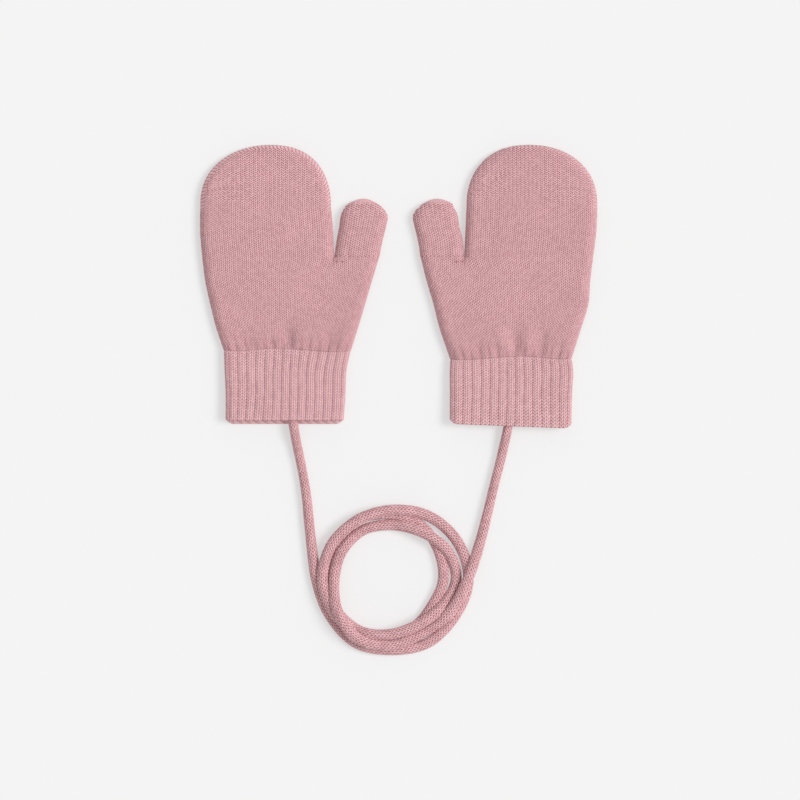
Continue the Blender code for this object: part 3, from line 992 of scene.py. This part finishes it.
def knit_panel(side, face, fineness):
    """One knitted wall of a hand, back or palm."""
    x, y, rows, widths, columns = panel_plan(side, fineness)
    distance = outline_distance(side, x, y, rows, widths, columns)
    inside = np.clip(distance / EDGE_CALM, 0.0, 1.0)
    across, along = sway(side, x, y, inside)
    x = x + across
    near_cuff = np.clip(1 - (y - HAND_ROWS[side][-1][0]) / WRIST_REACH, 0.0, 1.0) ** 2
    y = y + along + wrist_line(x) * near_cuff
    if face == "back":
        z = BACK_EDGE_Z + (HAND_TOP - BACK_EDGE_Z) * quarter_round(distance, BACK_ROLL)
        z = z + fullness(distance) * (1 - near_cuff)
        z = z + (slow_waves(x, y, *SWELL) - gathers(side, x, y)) * inside
        echo = rib_echo(side, x, y, widths) * np.clip(distance / 3.0, 0.0, 1.0)
        z = z - ECHO_DEPTH * echo
        relief = BACK_RELIEF
        facing = 1
    else:
        z = PALM_EDGE_Z * (1 - quarter_round(distance, PALM_ROLL))
        z = z + PALM_GATHER * gathers(side, x, y) * inside
        echo = 0.0
        relief = PALM_RELIEF
        facing = -1
    world_x = CENTRES[side] + THUMB_WAY[side] * x
    base = np.stack((world_x, y, z), axis=2) * MM
    normals = panel_normals(base, rows, columns)
    normals *= facing * np.sign(normals[len(rows) // 2, columns // 2, 2])
    knit, hollow_shade = hand_knit(side, x, y, rows, distance, columns, fineness)
    hollow_shade = np.clip(hollow_shade + ECHO_SHADE * echo, 0.0, 1.0)
    outer = base + normals * (relief * MM * (knit - 0.75))[..., None]
    outer[..., 2] = np.maximum(outer[..., 2], 0.0)
    inner = (base - normals * WALL * MM)[::fineness, ::fineness]
    inner[0, :, 1] += SCARF * MM
    inner[BODY_BLOCKS, HAND_WALES + 1:, 1] -= SCARF * MM
    cells = np.ones((len(rows) - 1, x.shape[1] - 1), bool)
    cells[BODY_BLOCKS * fineness:, columns - 1:] = False
    area = grid_area(base, cells)
    turned = facing * THUMB_WAY[side] < 0
    piece = knitted_wall(f"{side}_{face}_knit", outer, inner, hollow_shade, fineness, hand_yarn, turned,
                         cells=cells)
    flat_width = (HAND_ROWS[side][2][1] + HAND_ROWS[side][2][3] + ROLLED_WIDTH) * MM
    flat_length = float(y.max() - y.min() + ROLLED_LENGTH) * MM
    lay_sheet(piece, f"{side}_hand_{face}", (flat_width, flat_length), area)


for side in CENTRES:
    for face, fineness in (("palm", 4), ("back", 6)):
        knit_panel(side, face, fineness)

# %% [markdown]
# ## Knit the thumbs
#
# A thumb is a small flat tube, open into the hand and closed at its tip. Its two faces
# meet in one line round the tip, so the last row of the tube is welded to itself.

# %% Thumb tubes
THUMB_HEIGHT = 5.6
THUMB_EDGE_Z = 2.0
THUMB_ROLL = 4.6
THUMB_TIP_ROLL = 4.5
THUMB_CROWN = 0.5
THUMB_ROLLED_LENGTH = 1.5
THUMB_FINENESS = 6
THUMB_ROWS_EVEN = 84
THUMB_ROWS_CLOSE = 24
THUMB_FADE_ROWS = 14     # the stitches sink into the drawn-together tip
THUMB_CLOSE_Y = 36.4     # where the rows start to lie closer
THUMB_LEAN = 0.15
THUMB_BEND_Y = 31.0      # where the tip starts to round
JOIN_GAP = 0.02          # between the last course of one piece and the first of the next
ROUND_A_TUBE = 2.1       # the two faces of a flat tube and the turn at its edges, in widths


def knit_thumb(side):
    """One thumb, whose columns run over the back of it and return under it."""
    start_y = THUMB_ROWS[side][0][0] + JOIN_GAP
    tip_y = THUMB_ROWS[side][-1][0]
    even = np.linspace(start_y, THUMB_CLOSE_Y, THUMB_ROWS_EVEN + 1)
    y = np.concatenate((even, np.linspace(THUMB_CLOSE_Y, tip_y, THUMB_ROWS_CLOSE + 1)[1:]))
    near = column_curve(THUMB_ROWS[side], 1, y)
    far = column_curve(THUMB_ROWS[side], 2, y)
    columns = 2 * GORE_WALES * THUMB_FINENESS
    ring = np.zeros((len(y), columns + 1, 3))
    for row in range(len(y)):
        width = far[row] - near[row]
        roll = min(THUMB_ROLL, 0.45 * width)
        shares = edge_spacing(columns // 2, width, roll, np.ones(1), np.ones(1))[0]
        across = np.concatenate((shares, shares[-2::-1]))
        inside = np.minimum(across, 1 - across) * width
        on_top = np.arange(columns + 1) < columns // 2
        swell = np.where(on_top, THUMB_HEIGHT - THUMB_EDGE_Z, -THUMB_EDGE_Z)
        swell = swell * quarter_round(inside, np.where(on_top, roll, min(PALM_ROLL, roll)))
        closing = quarter_round(tip_y - y[row], THUMB_TIP_ROLL)
        own_x = near[row] + across * width
        calm = np.clip(inside / EDGE_CALM, 0.0, 1.0) * min((tip_y - y[row]) / EDGE_CALM, 1.0)
        shift = sway(side, own_x, y[row], calm)
        ring[row, :, 0] = CENTRES[side] + THUMB_WAY[side] * (own_x + shift[0])
        ring[row, :, 1] = y[row] + shift[1]
        ring[row, :, 2] = THUMB_EDGE_Z + (swell + fullness(inside) * on_top) * closing
    middle = (near[-1] + far[-1]) / 2
    half = (far[-1] - near[-1]) / 2
    crown = 1 - ((ring[-1, :, 0] - CENTRES[side]) * THUMB_WAY[side] - middle) ** 2 / half ** 2
    ring[-1, :, 1] += THUMB_CROWN * crown
    base = ring * MM
    normals = tube_normals(base)
    outward = np.sign(normals[5, columns // 4, 2])
    normals *= outward
    own_x = (ring[..., 0] - CENTRES[side]) * THUMB_WAY[side]
    half_way = columns // 2
    from_edge = half_way - np.abs(np.arange(columns + 1) - half_way)
    wales = np.repeat(HAND_WALES + from_edge[None, :] / THUMB_FINENESS, len(y), axis=0)
    run_straight(wales[:, :half_way + 1], own_x[:, :half_way + 1], y, THUMB_BEND_Y, THUMB_LEAN)
    run_straight(wales[:, :half_way - 1:-1], own_x[:, :half_way - 1:-1], y, THUMB_BEND_Y, THUMB_LEAN)
    rows_a_course = ROWS_A_COURSE[THUMB_FINENESS]
    courses = course_count(y, THUMB_ROWS_EVEN, rows_a_course)
    courses = courses + BODY_BLOCKS * THUMB_FINENESS / rows_a_course
    knit = stitch_height(wales, courses[:, None])
    fade = np.clip((len(y) - 1 - np.arange(len(y))) / THUMB_FADE_ROWS, 0.0, 1.0)[:, None]
    relief = BACK_RELIEF * MM * (knit - 0.75) * fade
    outer = base + normals * relief[..., None]
    outer[..., 2] = np.maximum(outer[..., 2], 0.0)
    room = np.clip((tip_y - y) / 3.0, 0.12, 1.0)[:, None, None]
    inner = (base - normals * WALL * MM * room)[::THUMB_FINENESS, ::THUMB_FINENESS]
    inner[0, :, 1] -= SCARF * MM
    inner[-1] = base[-1, ::THUMB_FINENESS] - np.array((0.0, 0.8 * MM, 0.0))
    # painted shade between the stitches, fading to an even mid shade at the drawn-together tip
    hollow_shade = (1 - knit) * fade + 0.3 * (1 - fade)
    piece = knitted_wall(f"{side}_thumb_knit", outer, inner, hollow_shade, THUMB_FINENESS, hand_yarn,
                         outward < 0, wrap=True, closed_top=True)
    around = ROUND_A_TUBE * float((far - near).max()) * MM
    length = (tip_y - start_y + THUMB_ROLLED_LENGTH) * MM
    lay_sheet(piece, f"{side}_thumb", (around, length), grid_area(base))


for side in CENTRES:
    knit_thumb(side)

# %% [markdown]
# ## Knit the cuffs
#
# The cuff is a tube of rib: two knit wales stand up side by side and a purl wale hides in
# the furrow beside them, thirty times round. The hem's edge rolls softly inwards. The lower
# layer of the left cuff reaches a little past the upper one, and the right hem slants.

# %% Ribbed cuffs
CUFF_TOP_HEIGHT = 5.6
CUFF_MOUTH_HEIGHT = 7.0
RIB_FINENESS = 6
CUFF_ROW_COUNT = 126
ROWS_A_RIB_COURSE = 5
RIB_DEPTH = 0.34
RIB_STITCH_DEPTH = 0.42
RIB_SHADE = 0.92         # how dark the gaps between the stitches of the rib are
RIB_SWAY = (0.5, 33.0)
RIB_RIPPLE = (0.35, 27.0)
INNER_SHADES = (0.1, 0.55)      # inside the rib, stitch by stitch
INNER_FURROWS = (0.2, -0.1)
LIP = 0.6
CORNER = 4.4             # radius of the hem's corners
HEM_DROP = {"left": 0.0, "right": 2.2}
HEM_REACH = {"left": 0.6, "right": 2.2}
UNDER_REACH = {"left": 1.7, "right": -0.8}


def rib_knit(turns, courses, depth):
    """Height in mm and painted shade in the hollows of rib, where turns counts the wales round the
    cuff.
    """
    valley = valley_at(turns)
    knit = stitch_height(turns, courses, lean=0.34)
    height = RIB_STITCH_DEPTH * (knit - 0.75) * (1 - 0.4 * valley) - depth * valley
    # painted shade: darker between the stitches and deeper still in the furrows
    hollow_shade = np.clip(RIB_SHADE * (1 - knit) + 0.5 * depth * valley, 0.0, 1.0)
    return height, hollow_shade


def knit_cuff(side):
    """One cuff, whose columns run over the top of it and return underneath."""
    table = CUFF_ROWS[side]
    top_y = table[0][0]
    hem_y = table[-1][0]
    share = np.linspace(0.0, 1.0, CUFF_ROW_COUNT + 1)
    y = hem_y + (top_y - hem_y) * share
    down = 1 - share
    outer_edge = column_curve(table, 1, y)
    inner_edge = column_curve(table, 2, y)
    columns = RIB_WALES * RIBS * RIB_FINENESS
    ring = np.zeros((len(y), columns + 1, 3))
    for row in range(len(y)):
        height = CUFF_TOP_HEIGHT + (CUFF_MOUTH_HEIGHT - CUFF_TOP_HEIGHT) * down[row] ** 2
        width = outer_edge[row] + inner_edge[row]
        across, rise = tube_section(columns, width, height, height / 2)
        to_outer = 1 - across
        to_palm = (1 - rise) / 2
        corners = quarter_round(np.minimum(across, 1 - across) * width, CORNER)
        hem = HEM_DROP[side] * to_outer + UNDER_REACH[side] * to_palm * corners
        hem = (hem + HEM_REACH[side] * corners) * down[row] ** 3
        drift = slow_waves(across * width, y[row], *RIB_SWAY) * (1 - (2 * across - 1) ** 4)
        ripple = slow_waves(y[row], across * width, *RIB_RIPPLE) * 4 * share[row] * down[row]
        own_x = across * width + drift - outer_edge[row]
        ring[row, :, 0] = CENTRES[side] + THUMB_WAY[side] * own_x
        ring[row, :, 1] = y[row] - hem + ripple + wrist_line(own_x) * share[row] ** 3
        ring[row, :, 2] = height / 2 * (1 + rise)
    base = ring * MM
    normals = tube_normals(base)
    outward = np.sign(normals[len(y) // 2, columns // 4, 2])
    normals *= outward
    turns = np.arange(columns + 1)[None, :] / RIB_FINENESS
    courses = np.arange(len(y))[:, None] / ROWS_A_RIB_COURSE
    below_hand = np.clip((top_y - y)[:, None] / 5.0, 0.0, 1.0)
    depth = ECHO_DEPTH + (RIB_DEPTH - ECHO_DEPTH) * below_hand
    height, hollow_shade = rib_knit(turns, courses, depth)
    to_hem = (y - hem_y)[:, None]
    lip = LIP - np.sqrt(np.clip(LIP ** 2 - np.clip(LIP - to_hem, 0.0, LIP) ** 2, 0.0, None))
    fade = np.clip(to_hem / 1.5, 0.35, 1.0)
    outer = base + normals * ((height * fade - lip * 0.8) * MM)[..., None]
    outer[..., 2] = np.maximum(outer[..., 2], 0.0)
    inner = (base - normals * WALL * MM)[::RIB_FINENESS, ::RIB_FINENESS]
    in_row, in_wale = np.indices(inner.shape[:2])
    # painted shade inside the rib, light and dark stitch by stitch
    inner_hollow_shade = np.where((in_row + in_wale) % 2 == 0, *INNER_SHADES)
    furrow = np.where(in_wale % RIB_WALES == 0, *INNER_FURROWS)
    inner += normals[::RIB_FINENESS, ::RIB_FINENESS] * furrow[..., None] * MM
    inner[0, :, 1] += 0.3 * MM
    inner[-1, :, 1] += SCARF * MM
    piece = knitted_wall(f"{side}_cuff_rib", outer, inner, hollow_shade, RIB_FINENESS, rib_yarn,
                         outward < 0, wrap=True, inner_hollow_shade=inner_hollow_shade)
    around = ROUND_A_TUBE * float((outer_edge + inner_edge).max()) * MM
    length = float(ring[..., 1].max() - ring[..., 1].min()) * MM
    lay_sheet(piece, f"{side}_cuff", (around, length), grid_area(base))


for side in CENTRES:
    knit_cuff(side)
